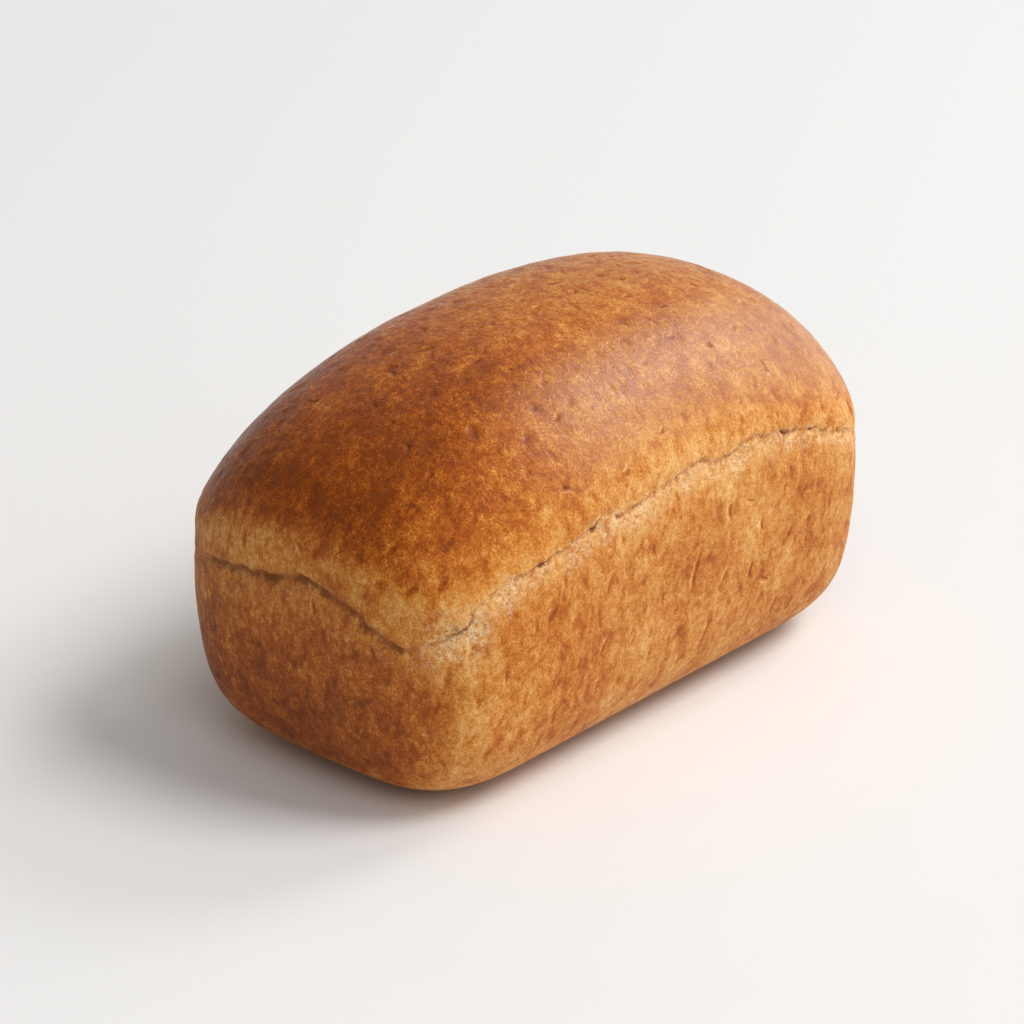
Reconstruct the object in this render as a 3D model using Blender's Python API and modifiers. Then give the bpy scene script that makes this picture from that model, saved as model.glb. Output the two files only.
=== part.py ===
"""A small tin loaf, baked as one piece.

Metres, +Z up. The origin is the middle of the flat base, the length runs along X and the width along Y.
The lower part took the shape of the tin. The dome rose out of the tin, and the crust tore where it left the rim.
"""

import math

import bmesh
import bpy

# Driving dimensions.
LENGTH = 0.180
WIDTH = 0.1025
HEIGHT = 0.1045

# The part that the tin shaped.
TAPER_TOP = 0.038  # below this height the walls lean in towards the base
TAPER = 0.004  # how far each wall has leaned in at the base
BASE_EDGE_RADIUS = 0.0225
CORNER_REACH = 0.035  # in plan, each corner starts to turn this far from where the walls would meet
CORNER_FULLNESS = 2.4  # 2 turns every corner like an ellipse, and more leaves it fuller

# The part that rose above the tin.
DOME_START = 0.0605
DOME_SHOULDER = 2.3  # 2 is an elliptical dome, and more is a flatter top with rounder shoulders
DOME_ROUND_BY = 0.75  # by this share of the dome's rise the plan is all corner, with no straight sides left
DOME_LEAN = 0.003  # the crown sits this far towards +X

# The tear between the two, a shallow groove.
TEAR_AT_CORNERS = 0.0555
SIDE_ARCH = 0.016  # how much higher the tear is halfway along a side
END_ARCH = 0.005  # and halfway across an end
TEAR_DEPTH = 0.001
FADE_BELOW = 0.010  # the groove is gone this far below the tear
FADE_ABOVE = 0.005  # and this far above it

# The cage: how many parts its length and width are cut into, and its rows below and above the tear.
# A row is a share of the way from the tear to the base, or from the tear to the crown.
LENGTH_PARTS = 16
WIDTH_PARTS = 10
ROWS_BELOW = (0.08, 0.20, 0.38, 0.58, 0.76, 0.90)
ROWS_ABOVE = (0.10, 0.26, 0.46, 0.68, 0.86)
END_CROWDING = 0.35  # 0 spaces the cuts evenly, and more draws them in towards the corners
SEARCH_STEPS = 40

CRUST_COLOUR = (0.50, 0.23, 0.075, 1.0)
CRUST_ROUGHNESS = 0.62


def clear_scene():
    for item in list(bpy.data.objects):
        bpy.data.objects.remove(item)


def section(height):
    """The level slice at this height: its half length and half width, each with the reach of its corners."""
    if height < DOME_START:
        lean = TAPER * max(0.0, 1 - height / TAPER_TOP)
        drop = max(0.0, BASE_EDGE_RADIUS - height)
        inset = lean + BASE_EDGE_RADIUS - math.sqrt(BASE_EDGE_RADIUS**2 - drop**2)
        reach = CORNER_REACH - inset
        return (LENGTH / 2 - inset, reach), (WIDTH / 2 - inset, reach)
    rise = min(1.0, (height - DOME_START) / (HEIGHT - DOME_START))
    share = (1 - rise**DOME_SHOULDER) ** (1 / DOME_SHOULDER)
    rounded = min(1.0, rise / DOME_ROUND_BY)
    sizes = []
    for half_size in (LENGTH / 2, WIDTH / 2):
        reach = CORNER_REACH + (half_size - CORNER_REACH) * rounded
        sizes.append((half_size * share, reach * share))
    return sizes


def is_inside(x, y, z):
    if not 0 < z < HEIGHT:
        return False
    turn = 0.0
    for place, (half_size, reach) in zip((x, y), section(z)):
        if half_size <= 0:
            return False
        turn += max(0.0, (abs(place) - half_size + reach) / reach) ** CORNER_FULLNESS
    return turn < 1


def tear_height(u, v):
    """The tear's height in the plan direction (u, v), where the walls are at 1 and -1."""
    reach = max(u * u + v * v, 1e-9)
    on_side = SIDE_ARCH * (1 - u**4) * v * v / reach
    on_end = END_ARCH * (1 - v**4) * u * u / reach
    return TEAR_AT_CORNERS + on_side + on_end


def groove(above_tear):
    """How deep the groove is at this height above the tear."""
    fade = FADE_ABOVE if above_tear > 0 else FADE_BELOW
    return TEAR_DEPTH * max(0.0, 1 - abs(above_tear) / fade) ** 2


def skin_point(u, v, w):
    """Where a point of the two-unit cube's surface lands on the loaf.

    It travels out from the loaf's upright axis, level with the tear, through its own place in the loaf's box,
    and stops at the skin, which a halving search finds.
    """
    tear = tear_height(u, v)
    run_x = u * LENGTH / 2
    run_y = v * WIDTH / 2
    run_z = w * (tear if w < 0 else HEIGHT - tear)
    near, far = 0.0, 1.3
    for _ in range(SEARCH_STEPS):
        middle = (near + far) / 2
        if is_inside(run_x * middle, run_y * middle, tear + run_z * middle):
            near = middle
        else:
            far = middle
    x, y, z = run_x * near, run_y * near, tear + run_z * near
    is_wall = max(abs(u), abs(v)) == 1 and abs(w) < 1
    if is_wall:
        kept = 1 - groove(z - tear) / math.hypot(x, y)
        x *= kept
        y *= kept
    rise = max(0.0, (z - DOME_START) / (HEIGHT - DOME_START))
    return x + DOME_LEAN * rise**2, y, z


def cut_places(parts):
    """Where to cut from -1 to 1 into this many parts, crowded towards both ends, where the loaf turns."""
    places = []
    for step in range(1, parts):
        even = 2 * step / parts - 1
        crowded = math.sin(even * math.pi / 2)
        places.append(even + (crowded - even) * END_CROWDING)
    return places


def slice_cage(cage, axis, places):
    """Loop cuts through the whole cage, square to one axis."""
    normal = [0.0, 0.0, 0.0]
    normal[axis] = 1.0
    for place in places:
        point = [share * place for share in normal]
        everything = cage.verts[:] + cage.edges[:] + cage.faces[:]
        bmesh.ops.bisect_plane(cage, geom=everything, plane_co=point, plane_no=normal)


def make_loaf(collection):
    cage = bmesh.new()
    bmesh.ops.create_cube(cage, size=2.0)
    slice_cage(cage, 0, cut_places(LENGTH_PARTS))
    slice_cage(cage, 1, cut_places(WIDTH_PARTS))
    slice_cage(cage, 2, [-row for row in ROWS_BELOW] + [0.0, *ROWS_ABOVE])
    for vertex in cage.verts:
        vertex.co = skin_point(*(round(place, 5) for place in vertex.co))
    mesh = bpy.data.meshes.new("loaf")
    cage.to_mesh(mesh)
    cage.free()
    mesh.shade_smooth()
    loaf = bpy.data.objects.new("loaf", mesh)
    collection.objects.link(loaf)
    rounding = loaf.modifiers.new("rounding", "SUBSURF")
    rounding.levels = 1
    rounding.render_levels = 1
    return loaf


def crust_material():
    crust = bpy.data.materials.new("baked_crust")
    crust.use_nodes = True
    shader = crust.node_tree.nodes["Principled BSDF"]
    shader.inputs["Base Color"].default_value = CRUST_COLOUR
    shader.inputs["Roughness"].default_value = CRUST_ROUGHNESS
    shader.inputs["Metallic"].default_value = 0.0
    return crust


def main():
    clear_scene()
    collection = bpy.data.collections.new("tin_loaf")
    bpy.context.scene.collection.children.link(collection)
    loaf = make_loaf(collection)
    loaf.data.materials.append(crust_material())


main()
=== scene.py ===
# %% [markdown]
# # A small tin loaf
#
# Dough that is baked in a tin takes two shapes. The lower part is the tin's, with straight walls and
# rounded edges. The upper part rose above the rim, so it is a free dome. Where the dome pulled away from
# the rim, the crust tore, and the tear runs round the loaf as a ragged crack with a pale band of stretched
# dough below it.
#
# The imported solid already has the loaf's size and its plain form. This script grows a fine skin on that
# form, tears it, dents it and bakes it brown.

# %% Load the plain solid
import math

import bmesh
import bpy
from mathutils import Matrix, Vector


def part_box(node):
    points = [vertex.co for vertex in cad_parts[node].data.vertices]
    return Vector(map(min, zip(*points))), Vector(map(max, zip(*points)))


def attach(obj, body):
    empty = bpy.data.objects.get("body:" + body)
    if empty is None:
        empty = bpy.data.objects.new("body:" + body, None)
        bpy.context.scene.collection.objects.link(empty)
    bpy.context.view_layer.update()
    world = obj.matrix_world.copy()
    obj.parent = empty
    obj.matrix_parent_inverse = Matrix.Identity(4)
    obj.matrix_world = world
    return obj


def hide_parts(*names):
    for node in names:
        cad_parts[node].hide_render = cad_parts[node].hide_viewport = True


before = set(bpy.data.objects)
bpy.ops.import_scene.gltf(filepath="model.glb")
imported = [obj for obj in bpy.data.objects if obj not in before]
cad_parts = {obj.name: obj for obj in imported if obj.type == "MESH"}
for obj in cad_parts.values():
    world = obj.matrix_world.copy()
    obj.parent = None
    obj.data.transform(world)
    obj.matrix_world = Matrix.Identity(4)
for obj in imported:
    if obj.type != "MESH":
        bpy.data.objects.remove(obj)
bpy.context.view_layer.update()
LOW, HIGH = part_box("loaf")
LENGTH, WIDTH, HEIGHT = HIGH - LOW
MM = 0.001
print("solid, mm:", [round(side / MM, 1) for side in (LENGTH, WIDTH, HEIGHT)])

# %% [markdown]
# ## The camera
#
# A long lens far away keeps the walls nearly parallel, the way a product is usually shown. The camera looks
# down a little, at one long side and one end together. Its place is worked out from two angles and a
# distance, so that each of them can be changed alone.

# %% Camera
AZIMUTH = math.radians(-48.3)
ELEVATION = math.radians(26.0)
DISTANCE = 1.468
AIM_HEIGHT = 0.050
SHIFT_RIGHT = -0.0049
SHIFT_UP = -0.0038

backwards = Vector(
    (math.sin(AZIMUTH) * math.cos(ELEVATION), -math.cos(AZIMUTH) * math.cos(ELEVATION), math.sin(ELEVATION))
)
rightwards = Vector((math.cos(AZIMUTH), math.sin(AZIMUTH), 0.0))
upwards = backwards.cross(rightwards)
lens = bpy.data.cameras.new("long lens")
lens.lens = 200.0
lens.sensor_width = 36.0
camera = bpy.data.objects.new("camera", lens)
aim = Vector((0.0, 0.0, AIM_HEIGHT)) + rightwards * SHIFT_RIGHT + upwards * SHIFT_UP
camera.location = aim + backwards * DISTANCE
camera.rotation_euler = (-backwards).to_track_quat("-Z", "Y").to_euler()
bpy.context.scene.collection.objects.link(camera)
bpy.context.scene.camera = camera
print("camera at", [round(place, 3) for place in camera.location])

# %% [markdown]
# ## Light and floor
#
# One big soft lamp stands high at the front right. It models the loaf and leaves a soft shadow behind it on
# the left. A smaller lamp further round to the right rakes over the crust and gives it its sheen, and a weak
# one at the front left lifts the shadows. White card all round is the world's colour, brighter low down at
# the front right than it is overhead, and the floor is one large pale sheet.

# %% Studio
# Each lamp: its direction in degrees from +X, where turning towards -Y is negative, and in degrees above
# the floor, its distance and width in metres, its power in watts, and whether it makes a sheen on the
# crust. The key and the fill are like lights behind a polarising sheet: they model the form and leave the
# sheen to the side lamp.
LAMPS = {
    "key": (-58, 52, 3.5, 1.65, 76.0, False),
    "side": (-12, 40, 2.5, 0.75, 15.0, True),
    "fill": (-125, 48, 2.5, 1.6, 11.0, False),
}
FLOOR_SIZE = 6.0
PAPER_COLOUR = (0.8, 0.79, 0.775, 1.0)
PAPER_ROUGHNESS = 0.9


def link(thing):
    bpy.context.scene.collection.objects.link(thing)
    return thing


def soft_box(name, azimuth, elevation, distance, size, power, makes_sheen):
    azimuth, elevation = math.radians(azimuth), math.radians(elevation)
    light = bpy.data.lights.new(name, "AREA")
    light.shape = "DISK"
    light.size = size
    light.energy = power
    lamp = link(bpy.data.objects.new(name, light))
    level = math.cos(elevation)
    direction = Vector((math.cos(azimuth) * level, math.sin(azimuth) * level, math.sin(elevation)))
    lamp.location = Vector((0, 0, AIM_HEIGHT)) + direction * distance
    lamp.rotation_euler = direction.to_track_quat("Z", "Y").to_euler()
    lamp.visible_glossy = makes_sheen


for name, lamp in LAMPS.items():
    soft_box(name, *lamp)
bpy.context.scene.view_settings.view_transform = "Standard"

bpy.ops.mesh.primitive_plane_add(size=FLOOR_SIZE)
floor = bpy.context.object
floor.name = "floor"
paper = bpy.data.materials.new("matt white paper")
paper.use_nodes = True
paper_shader = paper.node_tree.nodes["Principled BSDF"]
paper_shader.inputs["Base Color"].default_value = PAPER_COLOUR
paper_shader.inputs["Roughness"].default_value = PAPER_ROUGHNESS
floor.data.materials.append(paper)
print("lamps:", list(LAMPS))

# %% [markdown]
# ## One helper for every node tree
#
# The skin, its tear, its dents and its colours are all node trees. One function adds a node, sets its
# settings and fills its inputs in the order that the node shows them. An input can be a plain value, a
# socket, or a node whose first output is wanted.

# %% Node helper
def add(tree, kind, inputs=(), **settings):
    """Adds one node to a tree. Inputs go by order or, as a dictionary, by name, and None leaves one alone."""
    node = tree.nodes.new(kind)
    for name, value in settings.items():
        setattr(node, name, value)
    sockets = [socket for socket in node.inputs if socket.enabled]
    by_name = {socket.name: socket for socket in reversed(sockets)}
    pairs = zip(sockets, inputs)
    if isinstance(inputs, dict):
        pairs = [(by_name[name], value) for name, value in inputs.items()]
    for socket, value in pairs:
        if isinstance(value, bpy.types.Node):
            value = next(output for output in value.outputs if output.enabled)
        if isinstance(value, bpy.types.NodeSocket):
            tree.links.new(value, socket)
        elif value is not None:
            socket.default_value = value
    return node


# %% White card
# The card is brightest low down at the front right, and fades to a dim one overhead at the back left.
BRIGHTEST = Vector((0.7, -0.6, -0.4)).normalized()
CARD_DARK = 0.14
CARD_BRIGHT = 0.84
CARD_COLOUR = (1.0, 0.99, 0.975, 1.0)
world = bpy.data.worlds.new("white card")
world.use_nodes = True
sky = world.node_tree
toward = add(sky, "ShaderNodeTexCoord").outputs["Generated"]
toward = add(sky, "ShaderNodeVectorMath", (toward, BRIGHTEST), operation="DOT_PRODUCT").outputs["Value"]
card = add(sky, "ShaderNodeMapRange", (toward, -1.0, 1.0, CARD_DARK, CARD_BRIGHT))
sky.nodes["Background"].inputs["Color"].default_value = CARD_COLOUR
sky.links.new(card.outputs[0], sky.nodes["Background"].inputs["Strength"])
bpy.context.scene.world = world


# %% Geometry tree helpers
SOCKET_KINDS = {
    bpy.types.Object: "NodeSocketObject",
    bpy.types.Material: "NodeSocketMaterial",
    int: "NodeSocketInt",
    float: "NodeSocketFloat",
}


def new_tree(name, sizes):
    """A Geometry Nodes tree that takes and gives a geometry, with one named input for each of the sizes."""
    tree = bpy.data.node_groups.new(name, "GeometryNodeTree")
    for direction in ("INPUT", "OUTPUT"):
        tree.interface.new_socket("Geometry", in_out=direction, socket_type="NodeSocketGeometry")
    for label, value in sizes.items():
        tree.interface.new_socket(label, in_out="INPUT", socket_type=SOCKET_KINDS[type(value)])
    return tree, add(tree, "NodeGroupInput").outputs


def put_on(thing, tree, result, sizes):
    """Ends the tree with its result and puts it on a thing, with its inputs set by identifier."""
    add(tree, "NodeGroupOutput", (result,))
    modifier = thing.modifiers.new(tree.name, "NODES")
    modifier.node_group = tree
    for socket in tree.interface.items_tree:
        if socket.name in sizes:
            modifier[socket.identifier] = sizes[socket.name]


def draw_profile(node, points, low, high, tallest):
    """Shapes a Float Curve. Its input runs from low to high, and its output from -tallest to +tallest."""
    line = node.mapping.curves[0]
    places = [((along - low) / (high - low), 0.5 + 0.5 * rise / tallest) for along, rise in points]
    line.points[0].location, line.points[1].location = places[0], places[-1]
    for place in places[1:-1]:
        line.points.new(*place)
    for point in line.points:
        point.handle_type = "AUTO_CLAMPED"
    node.mapping.update()


# %% [markdown]
# ## The form
#
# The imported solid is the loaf's true size, but it is made of coarse flat triangles. A copy of it is merged,
# made quads again and subdivided, which gives a smooth form. The form never shows: the skin is only drawn
# on to it.

# %% Smooth form
def smooth_form(node_name):
    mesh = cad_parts[node_name].data.copy()
    shape = bmesh.new()
    shape.from_mesh(mesh)
    bmesh.ops.remove_doubles(shape, verts=shape.verts[:], dist=0.01 * MM)
    bmesh.ops.join_triangles(
        shape,
        faces=shape.faces[:],
        angle_face_threshold=math.radians(40),
        angle_shape_threshold=math.radians(60),
    )
    shape.to_mesh(mesh)
    shape.free()
    form = link(bpy.data.objects.new("form", mesh))
    smoothing = form.modifiers.new("smoothing", "SUBSURF")
    smoothing.levels = smoothing.render_levels = 2
    return form


form = smooth_form("loaf")
print("form:", len(form.data.polygons), "faces before smoothing")

# %% [markdown]
# ## The skin
#
# The crust needs fine, even faces wherever it will be torn or dented. A finely cut cube has that, so each
# of its points is sent out from inside the loaf until it meets the form. The rays start level with the
# tear, and the rows of points crowd towards it, so that there is a row of faces about every 0.4 mm where
# the crack is. The underside only has to be flat.

# %% Skin tree
skin_sizes = {
    "Form": form,
    "Length": LENGTH,
    "Width": WIDTH,
    "Height": HEIGHT,
    "Points along": 172,
    "Points across": 98,
    "Points up": 118,
    "Tear at corners": 55.5 * MM,
    "Side arch": 16.0 * MM,
    "End arch": 5.0 * MM,
    "Smoothing passes": 8,
}
tree, given = new_tree("skin", skin_sizes)
cube = add(
    tree,
    "GeometryNodeMeshCube",
    ((2.0, 2.0, 2.0), given["Points along"], given["Points across"], given["Points up"]),
)
spot = add(tree, "ShaderNodeSeparateXYZ", (add(tree, "GeometryNodeInputPosition"),)).outputs

# The tear's height over each point of the plan: it arches up along every wall and dips at the corners.
x_squared = add(tree, "ShaderNodeMath", (spot["X"], spot["X"]), operation="MULTIPLY")
y_squared = add(tree, "ShaderNodeMath", (spot["Y"], spot["Y"]), operation="MULTIPLY")
both = add(tree, "ShaderNodeMath", (x_squared, y_squared), operation="MULTIPLY")
on_side = add(tree, "ShaderNodeMath", (y_squared, both), operation="SUBTRACT")
on_end = add(tree, "ShaderNodeMath", (x_squared, both), operation="SUBTRACT")
side_terms = (on_side, given["Side arch"], given["Tear at corners"])
arched = add(tree, "ShaderNodeMath", side_terms, operation="MULTIPLY_ADD")
tear_height = add(tree, "ShaderNodeMath", (on_end, given["End arch"], arched), operation="MULTIPLY_ADD")

# Rows of points crowd towards the tear, and each then has its share of the way up to the crown or down to
# the base.
from_middle = add(tree, "ShaderNodeMath", (spot["Z"],), operation="ABSOLUTE")
crowding = add(tree, "ShaderNodeMath", (from_middle, 0.55, 0.45), operation="MULTIPLY_ADD")
row = add(tree, "ShaderNodeMath", (spot["Z"], crowding), operation="MULTIPLY")
room_above = add(tree, "ShaderNodeMath", (given["Height"], tear_height), operation="SUBTRACT")
is_below = add(tree, "ShaderNodeMath", (spot["Z"], 0.0), operation="LESS_THAN")
room = add(tree, "GeometryNodeSwitch", (is_below, room_above, tear_height), input_type="FLOAT")
half_length = add(tree, "ShaderNodeMath", (given["Length"], 0.5), operation="MULTIPLY")
half_width = add(tree, "ShaderNodeMath", (given["Width"], 0.5), operation="MULTIPLY")
cube_place = add(tree, "ShaderNodeCombineXYZ", (spot["X"], spot["Y"], row))
loaf_reach = add(tree, "ShaderNodeCombineXYZ", (half_length, half_width, room))
direction = add(tree, "ShaderNodeVectorMath", (cube_place, loaf_reach), operation="MULTIPLY")
ray = add(
    tree,
    "GeometryNodeRaycast",
    {
        "Target Geometry": add(tree, "GeometryNodeObjectInfo", (given["Form"],)).outputs["Geometry"],
        "Source Position": add(tree, "ShaderNodeCombineXYZ", (0.0, 0.0, tear_height)),
        "Ray Direction": direction,
        "Ray Length": 1.0,
    },
)
skin = add(tree, "GeometryNodeSetPosition", (cube.outputs["Mesh"], None, ray.outputs["Hit Position"]))
here = add(tree, "GeometryNodeInputPosition")
evened = add(tree, "GeometryNodeBlurAttribute", (here, given["Smoothing passes"]), data_type="FLOAT_VECTOR")
skin = add(tree, "GeometryNodeSetPosition", (skin, None, evened))
facing = (skin, None, "facing", add(tree, "GeometryNodeInputNormal"))
skin = add(tree, "GeometryNodeStoreNamedAttribute", facing, data_type="FLOAT_VECTOR")
loaf = link(bpy.data.objects.new("loaf_crust", bpy.data.meshes.new("loaf_crust")))
put_on(loaf, tree, skin, skin_sizes)

# %% [markdown]
# ## The tear
#
# As the dome rises it stretches the skin at the rim of the tin until it tears. The tear is one ragged line
# round the loaf, wide in some places and almost shut in others. Its route is a list of places along each
# wall, with the height and how far the crack gapes, and the nodes run a smooth curve through them. Every
# point of the skin then asks how far above or below the curve it is. A profile turns that distance into a
# shape: the dome's lip above, a narrow crack under it, and a shallow hollow of stretched dough below.

# %% The tear's route, in mm
# On each wall: the place along it, the height above the base, and the gape, where 1 is a full crack.
FRONT_TEAR = (
    (79, 57, 0.15), (69, 61, 0.3), (64, 62.5, 0.45), (59, 64, 1.0), (54, 67, 0.75), (47, 68.5, 0.25),
    (40, 70.5, 1.0), (35, 71, 0.3), (30, 72.4, 0.4), (18, 70.8, 0.45), (8, 72.8, 0.3), (-6, 71.4, 0.45),
    (-14, 70.4, 0.3), (-22, 69.6, 0.85), (-28, 72, 0.35), (-35, 69.6, 1.25), (-42, 68.2, 0.45),
    (-49, 67.5, 0.85), (-56, 66, 0.65), (-64, 66.4, 0.8), (-70, 64, 0.2), (-75, 61.5, 0.25), (-79, 57, 0.9),
)  # fmt: skip
LEFT_TEAR = (
    (-43, 52.4, 0.2), (-38, 51.2, 0.35), (-34, 52.2, 0.9), (-27, 54.6, 1.0), (-22, 57.6, 0.9),
    (-16, 59.6, 1.0), (-11, 60.6, 0.8), (-6, 62.6, 1.5), (-1, 60.8, 0.7), (6, 59.2, 1.0), (13, 58.2, 1.1),
    (24, 56.8, 1.0), (30, 55.8, 0.6), (36, 53.4, 0.35), (44, 53, 0.15),
)  # fmt: skip
BACK_TEAR = (
    (-77, 56, 0.3), (-68, 60, 0.7), (-59, 62.5, 0.4), (-50, 65.4, 0.9), (-41, 67.2, 0.5), (-30, 70.4, 0.3),
    (-21, 69.4, 1.0), (-12, 71.8, 0.6), (-3, 70.6, 0.3), (7, 72.6, 0.5), (16, 70.4, 1.1), (26, 70.6, 0.5),
    (37, 67.8, 0.3), (46, 67, 0.8), (55, 64, 0.6), (66, 61.4, 0.3), (78, 56, 0.6),
)  # fmt: skip
RIGHT_TEAR = (
    (41, 53, 0.3), (32, 54.4, 0.8), (23, 57.8, 0.6), (15, 57.6, 1.0), (6, 60.8, 0.4), (-2, 59.6, 1.2),
    (-11, 60.4, 0.7), (-20, 58, 0.4), (-29, 56, 0.9), (-38, 53.6, 0.3),
)  # fmt: skip


def lay_route(name, stops):
    """A closed chain of edges through (place, gape) stops, which keeps the gape as a value on its points."""
    mesh = bpy.data.meshes.new(name)
    count = len(stops)
    mesh.from_pydata([place for place, _ in stops], [(i, (i + 1) % count) for i in range(count)], [])
    mesh.attributes.new("gape", "FLOAT", "POINT").data.foreach_set("value", [gape for _, gape in stops])
    return link(bpy.data.objects.new(name, mesh))


front, back = LOW.y, HIGH.y
left, right = LOW.x, HIGH.x
stops = [((x * MM, front, z * MM), gape) for x, z, gape in FRONT_TEAR]
stops += [((left, y * MM, z * MM), gape) for y, z, gape in LEFT_TEAR]
stops += [((x * MM, back, z * MM), gape) for x, z, gape in BACK_TEAR]
stops += [((right, y * MM, z * MM), gape) for y, z, gape in RIGHT_TEAR]
route = lay_route("tear_route", stops)
print("tear:", len(stops), "stops, round a loaf of", round(2 * (LENGTH + WIDTH) / MM), "mm")

# %% Tear tree
def swing(tree, here, length, detail, roughness):
    """A noise that swings either side of zero, about once in each such length."""
    scale = add(tree, "ShaderNodeMath", (1.0, length), operation="DIVIDE")
    noise = add(tree, "ShaderNodeTexNoise", (here, scale, detail, roughness))
    return add(tree, "ShaderNodeMath", (noise, 0.5), operation="SUBTRACT")


tear_sizes = {
    "Route": route,
    "Step": 0.6 * MM,
    "Wander": 3.4 * MM,
    "Wander length": 3.2 * MM,
    "Fray": 1.8,
    "Fray length": 1.3 * MM,
    "Lip droop": 0.55 * MM,
    "Crumb height": 1.3,
    "Patch length": 4.0 * MM,
    "Crumb size": 1.7 * MM,
}
# How far out the skin stands, in mm, at each height above the tear in mm, where the crack gapes fully.
TEAR_PROFILE = (
    (-9, 0), (-5, -0.15), (-3, -0.4), (-1.6, -0.65), (-0.8, -0.9), (-0.2, -1.2), (0.3, -0.7), (0.9, 0.1),
    (2, 0.35), (4, 0.35), (8, 0.15), (11, 0),
)  # fmt: skip
PROFILE_LOW, PROFILE_HIGH, PROFILE_OUT = -9.0, 11.0, 2.0

tree, given = new_tree("tear", tear_sizes)
skin = given["Geometry"]
here = add(tree, "GeometryNodeInputPosition")

# A smooth curve through the stops, drawn in on to the skin, and wandering up and down a little.
chain = add(tree, "GeometryNodeObjectInfo", (given["Route"],)).outputs["Geometry"]
curve = add(tree, "GeometryNodeMeshToCurve", (chain,))
curve = add(tree, "GeometryNodeCurveSplineType", (curve,), spline_type="CATMULL_ROM")
curve = add(tree, "GeometryNodeResampleCurve", {"Curve": curve, "Length": given["Step"]}, mode="LENGTH")
on_skin = add(tree, "GeometryNodeProximity", (skin,), target_element="FACES")
wander = swing(tree, here, given["Wander length"], 2.0, 0.6)
wander = add(tree, "ShaderNodeMath", (wander, given["Wander"]), operation="MULTIPLY")
wander = add(tree, "ShaderNodeCombineXYZ", (0.0, 0.0, wander))
curve = add(tree, "GeometryNodeSetPosition", (curve, None, on_skin.outputs["Position"], wander))
line = add(tree, "GeometryNodeCurveToMesh", (curve,))

# The height above the line in mm, frayed so that its edge is never clean.
nearest = add(tree, "GeometryNodeProximity", (line,), target_element="EDGES")
height = add(tree, "ShaderNodeSeparateXYZ", (here,)).outputs["Z"]
line_height = add(tree, "ShaderNodeSeparateXYZ", (nearest.outputs["Position"],)).outputs["Z"]
side = add(tree, "ShaderNodeMath", (height, line_height), operation="SUBTRACT")
side = add(tree, "ShaderNodeMath", (side,), operation="SIGN")
distance = add(tree, "ShaderNodeMath", (nearest.outputs["Distance"], 1 / MM), operation="MULTIPLY")
fray = swing(tree, here, given["Fray length"], 2.0, 0.6)
fray = add(tree, "ShaderNodeMath", (fray, given["Fray"]), operation="MULTIPLY")
above = add(tree, "ShaderNodeMath", (side, distance, fray), operation="MULTIPLY_ADD")
gape = add(
    tree,
    "GeometryNodeSampleIndex",
    {
        "Geometry": line,
        "Value": add(tree, "GeometryNodeInputNamedAttribute", ("gape",), data_type="FLOAT"),
        "Index": add(tree, "GeometryNodeSampleNearest", (line, here)),
    },
    data_type="FLOAT",
    domain="POINT",
)
# The crack is open in patches and nearly shut between them, but across the ends it stays open.
patch_scale = add(tree, "ShaderNodeMath", (1.0, given["Patch length"]), operation="DIVIDE")
patch = add(tree, "ShaderNodeTexNoise", (nearest.outputs["Position"], patch_scale, 1.0, 0.5))
facing = add(tree, "GeometryNodeInputNamedAttribute", ("facing",), data_type="FLOAT_VECTOR")
facing = add(tree, "ShaderNodeSeparateXYZ", (facing,)).outputs["X"]
facing = add(tree, "ShaderNodeMath", (facing,), operation="ABSOLUTE")
least_open = add(tree, "ShaderNodeMapRange", (facing, 0.3, 0.9, 0.1, 0.7))
patch = add(tree, "ShaderNodeMapRange", (patch, 0.42, 0.6, least_open, 1.3))
gape = add(tree, "ShaderNodeMath", (gape, patch), operation="MULTIPLY")
for name, value in (("above_tear", above), ("gape", gape)):
    skin = add(tree, "GeometryNodeStoreNamedAttribute", (skin, None, name, value), data_type="FLOAT")
above = add(tree, "GeometryNodeInputNamedAttribute", ("above_tear",), data_type="FLOAT")
gape = add(tree, "GeometryNodeInputNamedAttribute", ("gape",), data_type="FLOAT")

# The profile, scaled by the gape, and crumbs in the torn band.
share = add(tree, "ShaderNodeMapRange", (above, PROFILE_LOW, PROFILE_HIGH))
profile = add(tree, "ShaderNodeFloatCurve", (1.0, share))
draw_profile(profile, TEAR_PROFILE, PROFILE_LOW, PROFILE_HIGH, PROFILE_OUT)
out = add(tree, "ShaderNodeMapRange", (profile, 0.0, 1.0, -PROFILE_OUT, PROFILE_OUT))
opened = add(tree, "ShaderNodeMapRange", (gape, 0.0, 1.0, 0.15, 1.0), clamp=False)
shallower = add(tree, "ShaderNodeMapRange", (facing, 0.3, 0.9, 1.0, 0.7))
opened = add(tree, "ShaderNodeMath", (opened, shallower), operation="MULTIPLY")
out = add(tree, "ShaderNodeMath", (out, opened), operation="MULTIPLY")
crumbs = swing(tree, here, given["Crumb size"], 1.0, 0.5)
torn_above = add(tree, "ShaderNodeMapRange", (above, 1.5, 0.0), interpolation_type="SMOOTHSTEP")
torn_below = add(tree, "ShaderNodeMapRange", (above, -6.0, -2.5), interpolation_type="SMOOTHSTEP")
torn = add(tree, "ShaderNodeMath", (torn_above, torn_below), operation="MULTIPLY")
crumbs = add(tree, "ShaderNodeMath", (crumbs, torn), operation="MULTIPLY")
out = add(tree, "ShaderNodeMath", (crumbs, given["Crumb height"], out), operation="MULTIPLY_ADD")
out = add(tree, "ShaderNodeMath", (out, MM), operation="MULTIPLY")
outward = add(tree, "ShaderNodeVectorMath", (add(tree, "GeometryNodeInputNormal"), out), operation="SCALE")

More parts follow.
